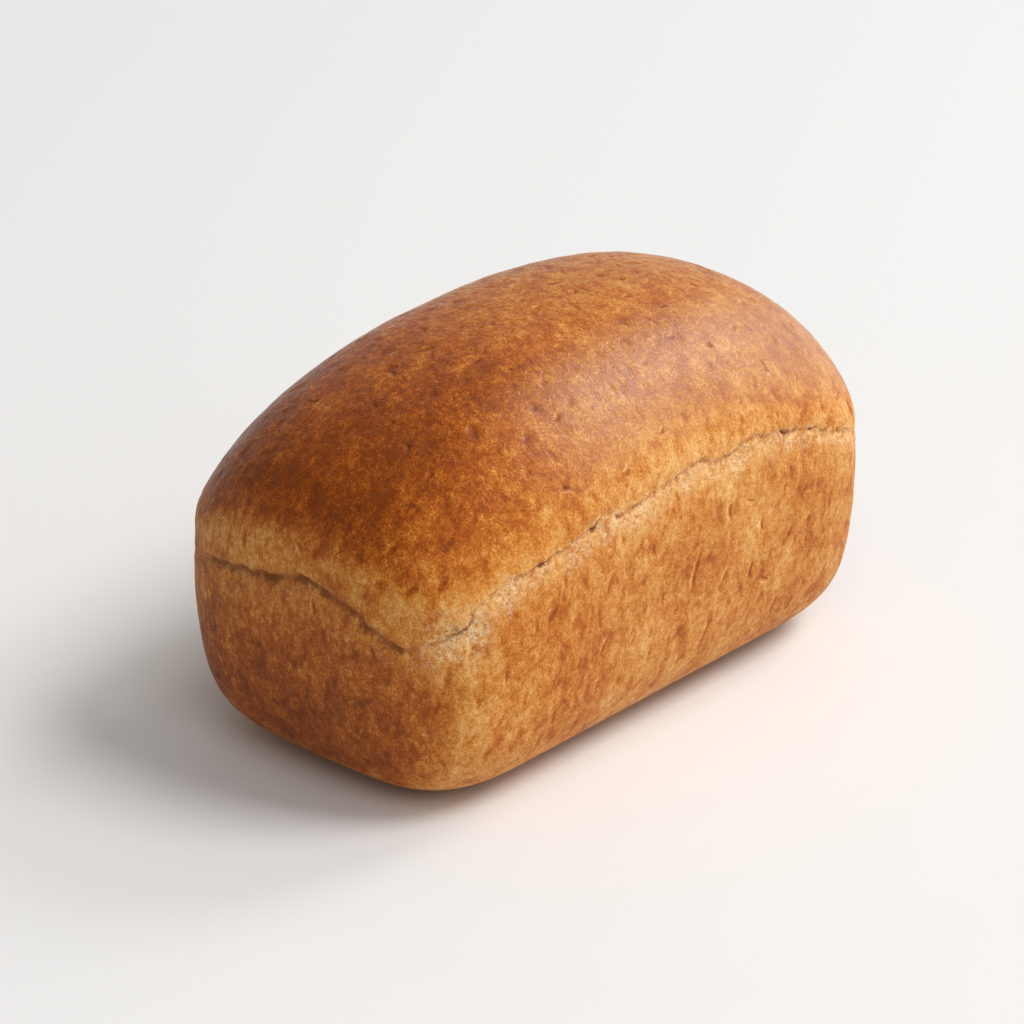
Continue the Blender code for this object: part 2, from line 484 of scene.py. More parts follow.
# The lip hangs down over the crack.
lip = add(tree, "ShaderNodeMapRange", (above, 3.5, 0.6), interpolation_type="SMOOTHSTEP")
lip_end = add(tree, "ShaderNodeMapRange", (above, 0.0, 0.4), interpolation_type="SMOOTHSTEP")
lip = add(tree, "ShaderNodeMath", (lip, lip_end), operation="MULTIPLY")
lip = add(tree, "ShaderNodeMath", (lip, gape), operation="MULTIPLY")
droop = add(tree, "ShaderNodeMath", (lip, given["Lip droop"]), operation="MULTIPLY")
droop = add(tree, "ShaderNodeMath", (droop, -1.0), operation="MULTIPLY")
sag = add(tree, "ShaderNodeCombineXYZ", (0.0, 0.0, droop))
move = add(tree, "ShaderNodeVectorMath", (outward, sag), operation="ADD")
skin = add(tree, "GeometryNodeSetPosition", (skin, None, None, move))
put_on(loaf, tree, skin, tear_sizes)

# %% [markdown]
# ## Dents and creases
#
# A tin loaf's crust is never smooth. Steam and the tin leave soft dimples all over it, folds where the skin
# slid up the wall as the loaf rose, and small pits on the dome where gas bubbles burst. Each kind is a
# layer of points scattered on the skin, at least a spacing apart. Every point of the skin asks for its
# nearest dent, and works out where it is in that dent's own directions, along it and across it. A dent's
# shape across is a profile, like the tear's. Every layer keeps these two distances and the depth as an
# attribute, because the material sharpens the dents later. On the front and the left end the creases are
# not scattered: they are a list, each in its own place.

# %% Dent layers
# Sizes in mm. "long" and "wide" are half sizes, and a lean is measured from upright, in degrees.
DIMPLES = {
    "spacing": 7.5, "long": (1.6, 3.4), "wide": (1.1, 2.1), "deep": (0.08, 0.36),
    "lean": (-50, 25), "bend": 0.2,
    "profile": ((-1.1, 0.12), (-0.9, 0), (-0.45, -0.6), (0.1, -1), (0.6, -0.5), (0.95, 0), (1.1, 0.1)),
    "seed": 11,
}  # fmt: skip
CREASES = {
    "spacing": 9.5, "long": (1.4, 4.6), "wide": (1.2, 2.2), "deep": (0.1, 0.55),
    "lean": (-38, -4), "bend": -0.25,
    "profile": ((-1.6, 0), (-1.1, 0.3), (-0.6, 0.1), (0, -1), (0.35, -0.75), (0.8, 0), (1.2, 0.05)),
    "seed": 5,
}  # fmt: skip
PITS = {
    "spacing": 8.5, "long": (0.9, 1.9), "wide": (0.7, 1.2), "deep": (0.18, 0.5),
    "lean": (-90, 90), "bend": 0.7,
    "profile": ((-1.5, 0.1), (-1.1, 0.2), (-0.5, -0.4), (0, -1), (0.5, -0.5), (1.0, 0.15), (1.5, 0)),
    "seed": 23,
}  # fmt: skip
# Creases that are each in their own place, on the front and the left end: the place in mm, then the lean,
# and in mm the half length, the half width and the depth.
PLACED_CREASES = (
    ((-55.3, -51.1, 50.2), -8, 2.2, 1.1, 0.4), ((-29.5, -50.7, 35.2), -30, 3.0, 1.2, 0.42),
    ((-65.3, -50, 39.8), -4, 2.4, 1.0, 0.34), ((-45.5, -51.2, 55.4), -2, 2.0, 1.0, 0.2),
    ((-34.9, -51.2, 46.6), -6, 3.0, 1.2, 0.2), ((18.9, -51.2, 55.5), 4, 2.6, 1.6, 0.66),
    ((26.9, -51.2, 55.7), 68, 2.2, 1.0, 0.4), ((5.5, -51, 43.5), -16, 5.6, 1.6, 0.5),
    ((17.2, -50.9, 37.6), -30, 2.2, 1.3, 0.45), ((28.1, -50.7, 35.6), -12, 2.8, 1.4, 0.6),
    ((34, -50.3, 30.5), 60, 2.4, 1.1, 0.5), ((45.7, -50.9, 37.6), 0, 1.9, 1.3, 0.42),
    ((50.5, -50.7, 36.2), 10, 1.5, 1.1, 0.34), ((-11.3, -51.2, 55.4), 20, 2.2, 1.6, 0.42),
    ((31.6, -51.2, 47.2), 6, 2.0, 1.5, 0.5), ((-6.9, -51, 41), -35, 2.6, 1.3, 0.4),
    ((41, -51, 55), -8, 3.2, 1.3, 0.3), ((60, -50.6, 44), -14, 3.4, 1.4, 0.4),
    ((12, -50, 24), -22, 4.0, 1.5, 0.42), ((40, -50, 20), -18, 3.6, 1.5, 0.4),
    ((-89.7, -7.6, 54.6), 8, 1.9, 0.7, 0.7), ((-88.6, -26.4, 48.2), 24, 2.6, 1.0, 0.45),
    ((-85.3, -36.1, 40.4), 36, 3.0, 1.2, 0.4), ((-87.7, 30.5, 46.3), 32, 2.8, 1.1, 0.4),
)  # fmt: skip
DENT_EDGE = 2.0  # a dent's profile runs this many half widths out
DENT_TALLEST = 1.0  # and is at most this many depths tall
NEARLY_UP = (0.03, 0.05, 1.0)  # not quite upright, so that no point of the crown has it as its normal


def lay_creases(creases):
    """Loose points that carry each crease's lean and sizes."""
    mesh = bpy.data.meshes.new("placed_creases")
    mesh.from_pydata([[place * MM for place in crease[0]] for crease in creases], [], [])
    leans = [math.radians(crease[1]) for crease in creases]
    mesh.attributes.new("lean", "FLOAT", "POINT").data.foreach_set("value", leans)
    sizes = [size for crease in creases for size in crease[2:]]
    mesh.attributes.new("size", "FLOAT_VECTOR", "POINT").data.foreach_set("vector", sizes)
    return link(bpy.data.objects.new("placed_creases", mesh))


def dent_layer(tree, skin, kind, density, name, placed=None):
    """Presses one layer of dents into the skin, and stores where each point is in its nearest dent."""
    normal = add(tree, "GeometryNodeInputNormal")
    cloud = add(
        tree,
        "GeometryNodeDistributePointsOnFaces",
        {
            "Mesh": skin,
            "Distance Min": kind["spacing"] * MM,
            "Density Max": 3.0 / (kind["spacing"] * MM) ** 2,
            "Density Factor": density,
            "Seed": kind["seed"],
        },
        distribute_method="POISSON",
    )
    lean = add(
        tree,
        "FunctionNodeRandomValue",
        (math.radians(kind["lean"][0]), math.radians(kind["lean"][1]), None, kind["seed"] + 1),
        data_type="FLOAT",
    )
    sizes = [
        add(
            tree,
            "FunctionNodeRandomValue",
            (float(kind[key][0]), float(kind[key][1]), None, kind["seed"] + 2 + place),
            data_type="FLOAT",
        )
        for place, key in enumerate(("long", "wide", "deep"))
    ]
    size = add(tree, "ShaderNodeCombineXYZ", sizes)
    points = cloud.outputs["Points"]
    for label, value, kept_as in (("lean", lean, "FLOAT"), ("size", size, "FLOAT_VECTOR")):
        points = add(tree, "GeometryNodeStoreNamedAttribute", (points, None, label, value), data_type=kept_as)
    if placed:
        placed_points = add(tree, "GeometryNodeMeshToPoints", (placed,))
        joined = add(tree, "GeometryNodeJoinGeometry", (points,))
        tree.links.new(placed_points.outputs[0], joined.inputs[0])
        points = joined
    # A dent runs upright on the skin, and is then leant over round the skin's normal.
    outward = add(
        tree, "GeometryNodeSampleNearestSurface", {"Mesh": skin, "Value": normal}, data_type="FLOAT_VECTOR"
    )
    sideways = add(tree, "ShaderNodeVectorMath", (NEARLY_UP, outward), operation="CROSS_PRODUCT")
    sideways = add(tree, "ShaderNodeVectorMath", (sideways,), operation="NORMALIZE")
    upright = add(tree, "ShaderNodeVectorMath", (outward, sideways), operation="CROSS_PRODUCT")
    lean = add(tree, "GeometryNodeInputNamedAttribute", ("lean",), data_type="FLOAT")
    run = add(tree, "ShaderNodeVectorRotate", (upright, None, outward, lean), rotation_type="AXIS_ANGLE")
    directed = (points, None, "run", run)
    points = add(tree, "GeometryNodeStoreNamedAttribute", directed, data_type="FLOAT_VECTOR")
    here = add(tree, "GeometryNodeInputPosition")
    index = add(tree, "GeometryNodeSampleNearest", (points, here))
    found = [
        add(tree, "GeometryNodeSampleIndex", (points, value, index), data_type="FLOAT_VECTOR", domain="POINT")
        for value in (
            here,
            add(tree, "GeometryNodeInputNamedAttribute", ("run",), data_type="FLOAT_VECTOR"),
            add(tree, "GeometryNodeInputNamedAttribute", ("size",), data_type="FLOAT_VECTOR"),
        )
    ]
    centre, run, size = found
    size = add(tree, "ShaderNodeSeparateXYZ", (size,)).outputs
    offset = add(tree, "ShaderNodeVectorMath", (here, centre), operation="SUBTRACT")
    offset = add(tree, "ShaderNodeVectorMath", (offset, 1 / MM), operation="SCALE")
    aside = add(tree, "ShaderNodeVectorMath", (run, normal), operation="CROSS_PRODUCT")
    along = add(tree, "ShaderNodeVectorMath", (offset, run), operation="DOT_PRODUCT").outputs["Value"]
    across = add(tree, "ShaderNodeVectorMath", (offset, aside), operation="DOT_PRODUCT").outputs["Value"]
    along = add(tree, "ShaderNodeMath", (along, size["X"]), operation="DIVIDE")
    across = add(tree, "ShaderNodeMath", (across, size["Y"]), operation="DIVIDE")
    along_squared = add(tree, "ShaderNodeMath", (along, along), operation="MULTIPLY")
    across = add(tree, "ShaderNodeMath", (along_squared, kind["bend"], across), operation="MULTIPLY_ADD")
    fade_ends = (along_squared, 0.0, 1.0, 1.0, 0.0)
    fade = add(tree, "ShaderNodeMapRange", fade_ends, interpolation_type="SMOOTHSTEP")
    share = add(tree, "ShaderNodeMapRange", (across, -DENT_EDGE, DENT_EDGE))
    profile = add(tree, "ShaderNodeFloatCurve", (1.0, share))
    stops = ((-DENT_EDGE, 0), *kind["profile"], (DENT_EDGE, 0))
    draw_profile(profile, stops, -DENT_EDGE, DENT_EDGE, DENT_TALLEST)
    out = add(tree, "ShaderNodeMapRange", (profile, 0.0, 1.0, -DENT_TALLEST, DENT_TALLEST))
    out = add(tree, "ShaderNodeMath", (out, fade), operation="MULTIPLY")
    out = add(tree, "ShaderNodeMath", (out, size["Z"]), operation="MULTIPLY")
    depth = add(tree, "ShaderNodeMath", (fade, size["Z"]), operation="MULTIPLY")
    place = add(tree, "ShaderNodeCombineXYZ", (along, across, depth))
    skin = add(tree, "GeometryNodeStoreNamedAttribute", (skin, None, name, place), data_type="FLOAT_VECTOR")
    out = add(tree, "ShaderNodeMath", (out, MM), operation="MULTIPLY")
    move = add(tree, "ShaderNodeVectorMath", (normal, out), operation="SCALE")
    return add(tree, "GeometryNodeSetPosition", (skin, None, None, move))


# %% Dents tree
placed = lay_creases(PLACED_CREASES)
dent_sizes = {
    "Placed creases": placed,
    "Sticky from": -12.0 * MM,
    "Sticky by": 20.0 * MM,
    "Lumps": 0.9,
    "Lump length": 26.0 * MM,
    "Ripples": 0.35,
    "Ripple length": 7.0 * MM,
}
tree, given = new_tree("dents", dent_sizes)
skin = given["Geometry"]
here = add(tree, "GeometryNodeInputPosition")
facing = add(tree, "GeometryNodeInputNamedAttribute", ("facing",), data_type="FLOAT_VECTOR")
up = add(tree, "ShaderNodeSeparateXYZ", (facing,)).outputs["Z"]
off_base = add(tree, "ShaderNodeMapRange", (up, -0.85, -0.45), interpolation_type="SMOOTHSTEP")
is_wall = add(tree, "ShaderNodeMapRange", (up, 0.55, 0.25), interpolation_type="SMOOTHSTEP")
is_wall = add(tree, "ShaderNodeMath", (is_wall, off_base), operation="MULTIPLY")
is_dome = add(tree, "ShaderNodeMapRange", (up, 0.25, 0.5), interpolation_type="SMOOTHSTEP")
above = add(tree, "GeometryNodeInputNamedAttribute", ("above_tear",), data_type="FLOAT")
from_tear = add(tree, "ShaderNodeMath", (above,), operation="ABSOLUTE")
clear = add(tree, "ShaderNodeMapRange", (from_tear, 4.0, 6.0))

# The creases are where the dough stuck to the tin as it rose, which is mostly towards one end.
x_place = add(tree, "ShaderNodeSeparateXYZ", (here,)).outputs["X"]
sticky = add(tree, "ShaderNodeMapRange", (x_place, given["Sticky from"], given["Sticky by"], 0.07, 1.0))
below = add(tree, "ShaderNodeMapRange", (above, -3.0, -5.0))
sticky = add(tree, "ShaderNodeMath", (sticky, below), operation="MULTIPLY")
sticky = add(tree, "ShaderNodeMath", (sticky, is_wall), operation="MULTIPLY")
sticky = add(tree, "ShaderNodeMath", (sticky, clear), operation="MULTIPLY")

# The front and the left end have the placed creases instead.
placed_side = add(tree, "ShaderNodeVectorMath", (facing, (-1.0, -1.0, 0.0)), operation="DOT_PRODUCT")
scattered_side = add(tree, "ShaderNodeMapRange", (placed_side.outputs["Value"], 0.55, 0.25))
sticky = add(tree, "ShaderNodeMath", (sticky, scattered_side), operation="MULTIPLY")
dimpled = add(tree, "ShaderNodeMath", (off_base, clear), operation="MULTIPLY")
pitted = add(tree, "ShaderNodeMath", (is_dome, 0.6), operation="MULTIPLY")

# Lumps and ripples first: the broad unevenness that is under all the dents.
for amount, length, seed in (("Lumps", "Lump length", 3.0), ("Ripples", "Ripple length", 7.0)):
    scale = add(tree, "ShaderNodeMath", (1.0, given[length]), operation="DIVIDE")
    lump = add(tree, "ShaderNodeTexNoise", (here, seed, scale, 1.0, 0.5), noise_dimensions="4D")
    lump = add(tree, "ShaderNodeMath", (lump, 0.5), operation="SUBTRACT")
    lump = add(tree, "ShaderNodeMath", (lump, off_base), operation="MULTIPLY")
    lump = add(tree, "ShaderNodeMath", (lump, given[amount]), operation="MULTIPLY")
    lump = add(tree, "ShaderNodeMath", (lump, MM), operation="MULTIPLY")
    lump = add(tree, "ShaderNodeVectorMath", (add(tree, "GeometryNodeInputNormal"), lump), operation="SCALE")
    skin = add(tree, "GeometryNodeSetPosition", (skin, None, None, lump))
skin = dent_layer(tree, skin, DIMPLES, dimpled, "dimple")
placed_guide = add(tree, "GeometryNodeObjectInfo", (given["Placed creases"],)).outputs["Geometry"]
skin = dent_layer(tree, skin, CREASES, sticky, "crease", placed_guide)
skin = dent_layer(tree, skin, PITS, pitted, "pit")
put_on(loaf, tree, skin, dent_sizes)

# %% [markdown]
# ## The finish of a baked crust
#
# Crust is dough that dried and browned. Sugars and proteins brown most where the heat was strongest, which
# is on the dome and the ends, and least where the dough was stretched late in the bake, which is along the
# tear. So one number, the bake, runs from pale dough to dark crust, and everything adds to it or takes from
# it: which way the skin faces, broad patches, blotches of a few millimetres, and the fine mottle of bran
# and fermented dough. Some of it is painted shade and light: the ends, most of all low down, and the left
# end of the dome are darker partly as painted shade, and the front shoulder of the dome is paler as painted
# light. One ramp then turns the bake into a colour. Dry crust is dull, and the glaze of set starch on the
# dome has a soft sheen.

# %% Colours of bread
def linear(hex_colour):
    """An sRGB hex colour as linear red, green, blue and alpha."""
    channels = [int(hex_colour[place : place + 2], 16) / 255 for place in (1, 3, 5)]
    return (*[c / 12.92 if c <= 0.04045 else ((c + 0.055) / 1.055) ** 2.4 for c in channels], 1.0)


BAKE_COLOURS = (
    (0.0, "#ecc48c"),
    (0.22, "#d99f59"),
    (0.42, "#c47a2a"),
    (0.6, "#ab5812"),
    (0.8, "#934508"),
    (1.0, "#7a3606"),
)
TORN_CRUMB = linear("#f0c899")
# the dried crumb and both crack colours are partly painted shade in the crack
DRIED_CRUMB_AND_SHADE = linear("#b46c30")
CRACK_AND_SHADE = linear("#7a3a14")
END_CRACK_AND_SHADE = linear("#7a3c10")
# partly starch, partly a painted sheen on the front of the dome
STARCH_AND_PAINTED_SHEEN = linear("#c8b6a4")
FLOUR = linear("#ecd0a6")
# partly painted shade, in a pit that has no depth
BROKEN_FLAKE_AND_SHADE = linear("#7d5030")

# %% Crust material
crust = bpy.data.materials.new("baked bread crust")
crust.use_nodes = True
tree = crust.node_tree
shader = tree.nodes["Principled BSDF"]
place = add(tree, "ShaderNodeTexCoord").outputs["Object"]
spot = add(tree, "ShaderNodeSeparateXYZ", (place,)).outputs
facing = add(tree, "ShaderNodeAttribute", attribute_name="facing").outputs["Vector"]
facing = add(tree, "ShaderNodeSeparateXYZ", (facing,)).outputs
above = add(tree, "ShaderNodeAttribute", attribute_name="above_tear").outputs["Fac"]
gape = add(tree, "ShaderNodeAttribute", attribute_name="gape").outputs["Fac"]
is_dome = add(tree, "ShaderNodeMapRange", (facing["Z"], 0.15, 0.75), interpolation_type="SMOOTHSTEP")
end_facing = add(tree, "ShaderNodeMath", (facing["X"],), operation="ABSOLUTE")
is_end = add(tree, "ShaderNodeMapRange", (end_facing, 0.5, 0.95), interpolation_type="SMOOTHSTEP")

# Noises, from broad patches down to fine mottle. Each has a size in mm, how fast it changes upwards, where
# less than 1 draws it out upright, and its detail and roughness.
NOISES = {
    "patches": (30.0, 1.0, 2.0, 0.5),
    "blotches": (5.5, 0.55, 3.0, 0.6),
    "rust": (4.2, 0.7, 2.0, 0.55),
    "mottle": (1.7, 0.8, 3.0, 0.65),
    "bran": (0.55, 1.0, 2.0, 0.7),
}
noises = {}
for name, (size, upright, detail, roughness) in NOISES.items():
    stretched = add(tree, "ShaderNodeVectorMath", (place, (1.0, 1.0, upright)), operation="MULTIPLY")
    noises[name] = add(tree, "ShaderNodeTexNoise", (stretched, 1 / (size * MM), detail, roughness))

# The bake, as a sum. Each term is a value, its range, and what it adds over that range.
leaning_back = add(tree, "ShaderNodeMapRange", (facing["Z"], 0.14, 0.95), interpolation_type="SMOOTHSTEP")
crown_end = add(tree, "ShaderNodeMath", (leaning_back, spot["X"]), operation="MULTIPLY")
rust = add(tree, "ShaderNodeMapRange", (noises["rust"], 0.52, 0.75))
rust_by_place = add(tree, "ShaderNodeMapRange", (is_dome, 0.0, 1.0, 1.0, 0.4))
rusty = add(tree, "ShaderNodeMath", (rust, rust_by_place), operation="MULTIPLY")
above_end = add(tree, "ShaderNodeMapRange", (above, 0.0, 8.0))
square_end = add(tree, "ShaderNodeMapRange", (end_facing, 0.7, 0.98), interpolation_type="SMOOTHSTEP")
above_end = add(tree, "ShaderNodeMath", (above_end, square_end), operation="MULTIPLY")
# painted shade: darker low down on the ends
painted_shade_low_end = add(tree, "ShaderNodeMapRange", (above, -8.0, -28.0))
painted_shade_low_end = add(tree, "ShaderNodeMath", (painted_shade_low_end, is_end), operation="MULTIPLY")
# Painted light: the front shoulder of the dome, towards the left, is made paler than the crown behind it.
facing_front = add(tree, "ShaderNodeMapRange", (facing["Y"], -0.2, -0.6), interpolation_type="SMOOTHSTEP")
left_ends = (spot["X"], -12 * MM, -50 * MM)
to_the_left = add(tree, "ShaderNodeMapRange", left_ends, interpolation_type="SMOOTHSTEP")
painted_light_shoulder = add(tree, "ShaderNodeMath", (facing_front, to_the_left), operation="MULTIPLY")
painted_light_shoulder = add(tree, "ShaderNodeMath", (painted_light_shoulder, leaning_back), operation="MULTIPLY")
BROAD_TERMS = (
    # painted light on the front shoulder of the dome
    (painted_light_shoulder, 0, 0.6, 0.0, -0.13),
    (is_dome, 0, 1, 0.0, 0.135),
    # the ends browner, partly baked and partly painted shade
    (is_end, 0, 1, 0.0, 0.17),
    (above_end, 0, 1, 0.0, -0.13),
    # painted shade: the ends darker towards their feet
    (painted_shade_low_end, 0, 1, 0.0, 0.19),
    # the left end of the dome darker, partly baked and partly painted shade, and the right end a little
    # darker
    (crown_end, -75 * MM, 0.0, 0.45, 0.0),
    (crown_end, 0.0, 75 * MM, 0.0, 0.05),
    (above, 2, 20, -0.03, 0.0),
    (above, -14, 0, 0.0, -0.07),
    (spot["Z"], 0.0, 22 * MM, -0.02, 0.0),
    (noises["patches"], 0.3, 0.7, -0.08, 0.08),
)
FINE_TERMS = (
    (noises["blotches"], 0.25, 0.75, -0.11, 0.11),
    (rusty, 0.0, 1.0, 0.0, 0.2),
    (noises["mottle"], 0.25, 0.75, -0.13, 0.13),
    (noises["bran"], 0.2, 0.8, -0.2, 0.2),
)
START_BAKE = 0.41


def add_terms(total, terms):
    """Adds each term's share of its range to the total."""
    for value, low, high, least, most in terms:
        term = add(tree, "ShaderNodeMapRange", (value, low, high, least, most))
        total = add(tree, "ShaderNodeMath", (total, term), operation="ADD")
    return total


# The darker the crust, the more its blisters and bran stand out.
broad = add_terms(START_BAKE, BROAD_TERMS)
fine = add_terms(0.0, FINE_TERMS)
standing_out = add(tree, "ShaderNodeMapRange", (broad, 0.4, 0.8, 1.1, 1.8))
bake = add(tree, "ShaderNodeMath", (fine, standing_out, broad), operation="MULTIPLY_ADD")

# %% [markdown]
# The dents are sharper than the skin's faces. Where a point is in its dent is even all over the dent, so it
# can be read between the points of the mesh, and a thin dark line of painted shade is drawn down the middle
# of each crease. Dimples and pits are a little browner inside, partly their own colour and partly painted
# shade, and a crease and a pit have one paler rim where the skin was pushed up, partly a painted highlight.

# %% Dents in the finish, with painted shade and highlights
# Each mark: the dent's attribute, how far across it the mark is, half its width, what it adds to the bake,
# and the depth of dent in mm at which it adds all of that. A mark that adds to the bake is darker, partly
# painted shade, and one that takes from it is a paler rim, partly a painted highlight.
DENT_MARKS_AND_SHADING = (
    ("dimple", 0.1, 0.75, 0.26, 0.34),
    ("crease", 0.15, 0.5, 0.32, 0.5),
    ("crease", -0.9, 0.5, -0.2, 0.5),
    ("pit", 0.1, 0.8, 0.22, 0.4),
    ("pit", -1.2, 0.45, -0.24, 0.4),
)
shade_marks = {}
for name, middle, half_wide, change, full_depth in DENT_MARKS_AND_SHADING:
    dent = add(tree, "ShaderNodeAttribute", attribute_name=name).outputs["Vector"]
    dent = add(tree, "ShaderNodeSeparateXYZ", (dent,)).outputs
    away = add(tree, "ShaderNodeMath", (dent["Y"], middle), operation="SUBTRACT")
    away = add(tree, "ShaderNodeMath", (away,), operation="ABSOLUTE")
    line = add(tree, "ShaderNodeMapRange", (away, half_wide, 0.0), interpolation_type="SMOOTHSTEP")
    depth = add(tree, "ShaderNodeMapRange", (dent["Z"], 0.02, full_depth))
    shade_mark = add(tree, "ShaderNodeMath", (line, depth), operation="MULTIPLY")
    shade_marks.setdefault(name, shade_mark)
    bake = add(tree, "ShaderNodeMath", (shade_mark, change, bake), operation="MULTIPLY_ADD")

ramp = add(tree, "ShaderNodeValToRGB", (bake,))
elements = ramp.color_ramp.elements
elements[0].position = BAKE_COLOURS[0][0]
elements[1].position = BAKE_COLOURS[-1][0]
for step, (position, colour) in enumerate(BAKE_COLOURS):
    if 0 < step < len(BAKE_COLOURS) - 1:
        elements.new(position)
    elements[step].color = linear(colour)
print("bake:", len(BROAD_TERMS), "broad and", len(FINE_TERMS), "fine terms")

# %% [markdown]
# A thin pale bloom on the front of the dome takes some of the orange out of the crust. It is partly starch
# that swelled in the steam and then dried, and partly a painted sheen where the highlight falls. It is a
# paler colour laid over the ramp's, by which way the skin faces and where it is on the loaf, and the
# mottle breaks it up.

# %% Bloom of starch and painted sheen
sheen_front = add(tree, "ShaderNodeMapRange", (facing["Y"], -0.15, -0.5), interpolation_type="SMOOTHSTEP")
sheen_ends = (spot["X"], -55 * MM, -10 * MM)
sheen_along = add(tree, "ShaderNodeMapRange", sheen_ends, interpolation_type="SMOOTHSTEP")
sheen_height = add(tree, "ShaderNodeMapRange", (is_dome, 0.3, 1.0, 0.02, 0.2))
sheen_mottle = add(tree, "ShaderNodeMapRange", (noises["mottle"], 0.35, 0.65, 0.7, 1.3))
starch_and_painted_sheen = add(tree, "ShaderNodeMath", (sheen_front, sheen_along), operation="MULTIPLY")
starch_and_painted_sheen = add(tree, "ShaderNodeMath", (starch_and_painted_sheen, sheen_height), operation="MULTIPLY")
starch_and_painted_sheen = add(tree, "ShaderNodeMath", (starch_and_painted_sheen, sheen_mottle), operation="MULTIPLY")
# painted sheen: a paler colour over the front of the dome, where the highlight falls
with_painted_sheen = add(tree, "ShaderNodeMix", (starch_and_painted_sheen, ramp.outputs["Color"], STARCH_AND_PAINTED_SHEEN), data_type="RGBA")

# %% [markdown]
# Along the tear there are more finishes, laid over each other. Below the crack the stretched dough stayed
# pale and crumbly, so it is torn crumb broken up by a noise. Beside the crack it is a warm brown, partly
# dried crumb and partly painted shade under the lip, and where the crack gapes it is dark, partly its own
# colour and partly painted shade. Bits of flour stuck at one corner, and a flake of crust broke away there,
# leaving a dark pit that is partly painted shade. Above the crack the lip is ordinary crust.

# %% Tear in the finish
mottle = add(tree, "ShaderNodeMath", (noises["mottle"], 0.5), operation="SUBTRACT")
bran = add(tree, "ShaderNodeMath", (noises["bran"], 0.5), operation="SUBTRACT")
frayed = add(tree, "ShaderNodeMath", (bran, 2.2, above), operation="MULTIPLY_ADD")
frayed = add(tree, "ShaderNodeMath", (mottle, 2.5, frayed), operation="MULTIPLY_ADD")

crumb_top = add(tree, "ShaderNodeMapRange", (frayed, 1.6, 0.2), interpolation_type="SMOOTHSTEP")
foot = add(tree, "ShaderNodeMath", (noises["blotches"], 0.5), operation="SUBTRACT")
foot = add(tree, "ShaderNodeMath", (foot, 20.0, frayed), operation="MULTIPLY_ADD")
crumb_foot = add(tree, "ShaderNodeMapRange", (foot, -7.5, -2.0), interpolation_type="SMOOTHSTEP")
crumb = add(tree, "ShaderNodeMath", (crumb_top, crumb_foot), operation="MULTIPLY")
crumb_by_gape = add(tree, "ShaderNodeMapRange", (gape, 0.0, 0.7, 0.5, 0.88))
crumb = add(tree, "ShaderNodeMath", (crumb, crumb_by_gape), operation="MULTIPLY")
less_on_end = add(tree, "ShaderNodeMapRange", (is_end, 0.0, 1.0, 1.0, 0.12))
crumb = add(tree, "ShaderNodeMath", (crumb, less_on_end), operation="MULTIPLY")
broken = add(tree, "ShaderNodeTexNoise", (place, 1 / (1.2 * MM), 3.0, 0.75))
broken = add(tree, "ShaderNodeMapRange", (broken, 0.42, 0.58, 0.08, 1.0))
crumb = add(tree, "ShaderNodeMath", (crumb, broken), operation="MULTIPLY")
colour = add(tree, "ShaderNodeMix", (crumb, with_painted_sheen, TORN_CRUMB), data_type="RGBA")

# All along the crack the crumb is a warm brown, even where it is nearly shut: partly dried crumb, partly
# painted shade under the lip.
from_crack = add(tree, "ShaderNodeMath", (bran, 2.0, above), operation="MULTIPLY_ADD")
from_crack = add(tree, "ShaderNodeMath", (from_crack,), operation="ABSOLUTE")
dried_and_shaded = add(tree, "ShaderNodeMapRange", (from_crack, 1.1, 0.2, 0.0, 0.8), interpolation_type="SMOOTHSTEP")
comes_and_goes = add(tree, "ShaderNodeMapRange", (noises["mottle"], 0.42, 0.6, 0.25, 1.0))
dried_and_shaded = add(tree, "ShaderNodeMath", (dried_and_shaded, comes_and_goes), operation="MULTIPLY")
colour = add(tree, "ShaderNodeMix", (dried_and_shaded, colour, DRIED_CRUMB_AND_SHADE), data_type="RGBA")

# The crack is widest where it gapes, and on the ends it is a broad brown groove. Its dark colour is partly
# its own and partly painted shade.
opens_at = add(tree, "ShaderNodeMapRange", (is_end, 0.0, 1.0, 0.5, 0.1))
half_gap = add(tree, "ShaderNodeMath", (gape, opens_at), operation="SUBTRACT")
widened = add(tree, "ShaderNodeMapRange", (is_end, 0.0, 1.0, 0.9, 1.15))
half_gap = add(tree, "ShaderNodeMath", (half_gap, widened), operation="MULTIPLY")
gap_middle = add(tree, "ShaderNodeMath", (frayed, half_gap), operation="ADD")
gap_middle = add(tree, "ShaderNodeMath", (gap_middle,), operation="ABSOLUTE")
in_gap = add(tree, "ShaderNodeMath", (half_gap, gap_middle), operation="SUBTRACT")
softness = add(tree, "ShaderNodeMapRange", (is_end, 0.0, 1.0, 0.35, 1.2))
sharpness = add(tree, "ShaderNodeMath", (softness, -1.0), operation="MULTIPLY")
in_gap = add(tree, "ShaderNodeMapRange", (in_gap, sharpness, softness), interpolation_type="SMOOTHSTEP")
gap_by_gape = add(tree, "ShaderNodeMapRange", (gape, opens_at, 0.9, 0.0, 0.9))
in_gap = add(tree, "ShaderNodeMath", (in_gap, gap_by_gape), operation="MULTIPLY")
crack_and_shade_colour = add(tree, "ShaderNodeMix", (is_end, CRACK_AND_SHADE, END_CRACK_AND_SHADE), data_type="RGBA")
colour = add(tree, "ShaderNodeMix", (in_gap, colour, crack_and_shade_colour), data_type="RGBA")

